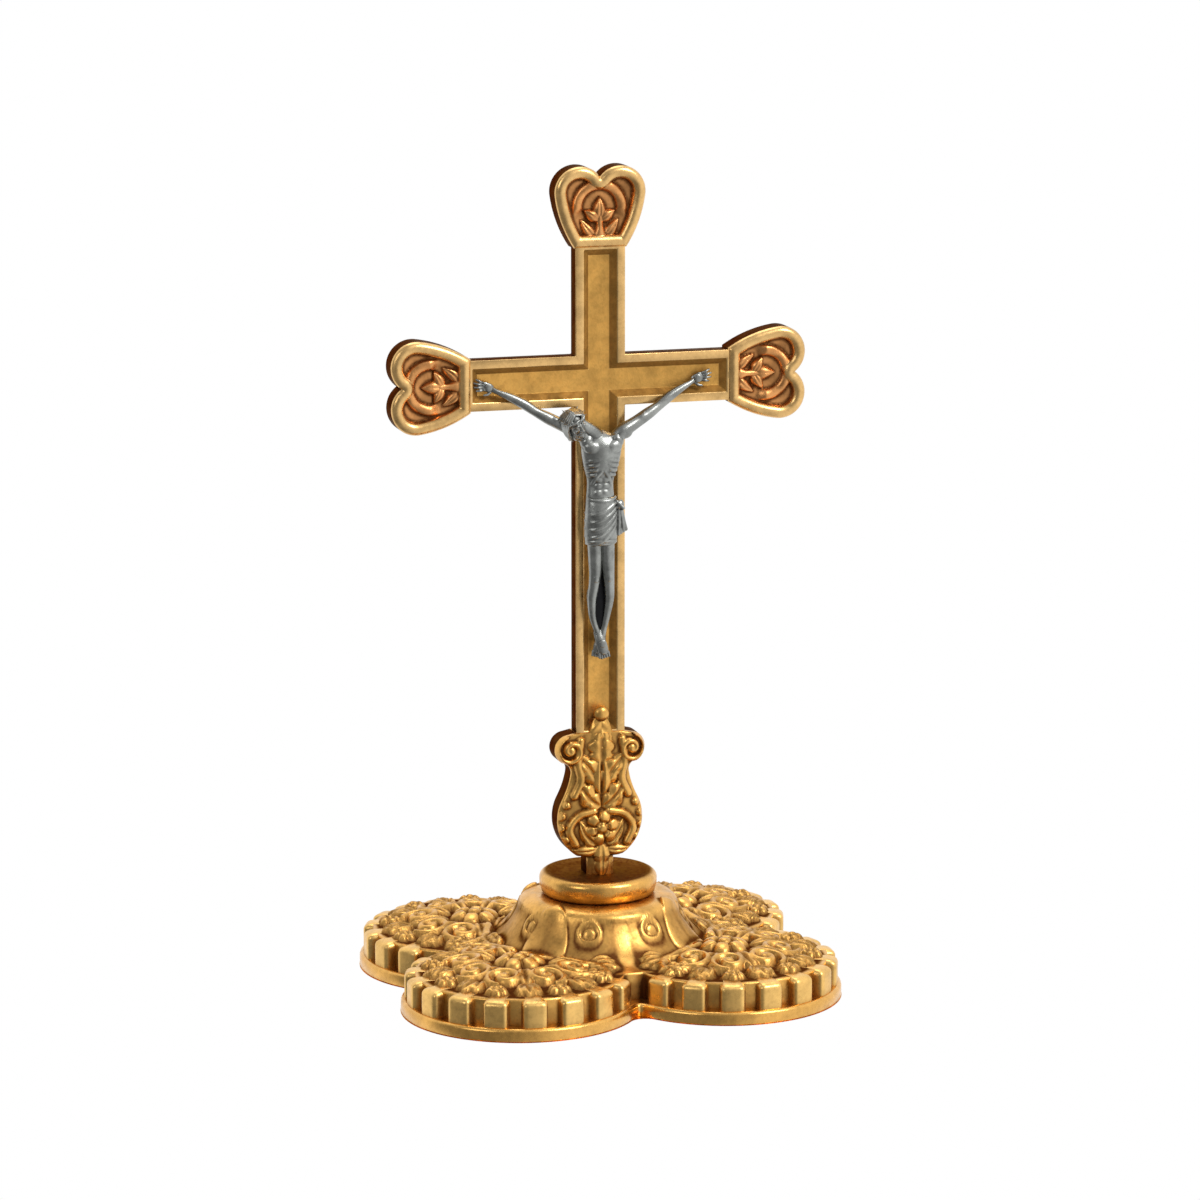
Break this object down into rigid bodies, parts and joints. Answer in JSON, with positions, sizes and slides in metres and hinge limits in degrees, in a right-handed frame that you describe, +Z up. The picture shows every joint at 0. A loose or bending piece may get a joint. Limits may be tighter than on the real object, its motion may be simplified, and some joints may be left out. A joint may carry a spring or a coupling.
{
  "type": "standing crucifix",
  "caption": "Standing table crucifix of cast gilt metal: silver figure on a cross with heart-shaped ends, lyre-shaped foot ornament and lobed, gadrooned base.",
  "frame": {"origin": "middle of the base on the ground", "axes": "+Z up, X along the crossbar with +X at the viewer's right, the front faces -Y"},
  "size_m": [0.0868, 0.08, 0.16],
  "materials": {
    "gilt_base": "polished gilt",
    "gilt_collar": "polished gilt",
    "gilt_foot": "polished gilt",
    "gilt_cross": "polished rims, satin field",
    "gilt_heart": "polished rims, reddish satin field",
    "gilt_pin": "plain",
    "silver_figure": "antique silver",
    "silver_nail": "antique silver",
    "steel_tie": "plain"
  },
  "bodies": {
    "root": {"base_casting": "gilt_base", "socket_collar": "gilt_collar", "foot_ornament": "gilt_foot", "cross_frame": "gilt_cross", "heart_top": "gilt_heart", "heart_left": "gilt_heart", "heart_right": "gilt_heart", "heart_rivet_top": "gilt_pin", "heart_rivet_left": "gilt_pin", "heart_rivet_right": "gilt_pin", "foot_rivet": "gilt_pin", "corpus": "silver_figure", "nail_left": "silver_nail", "nail_right": "silver_nail", "nail_feet": "silver_nail", "tie_stud": "steel_tie", "tie_washer": "steel_tie", "tie_nut": "steel_tie"}
  },
  "joints": []
}
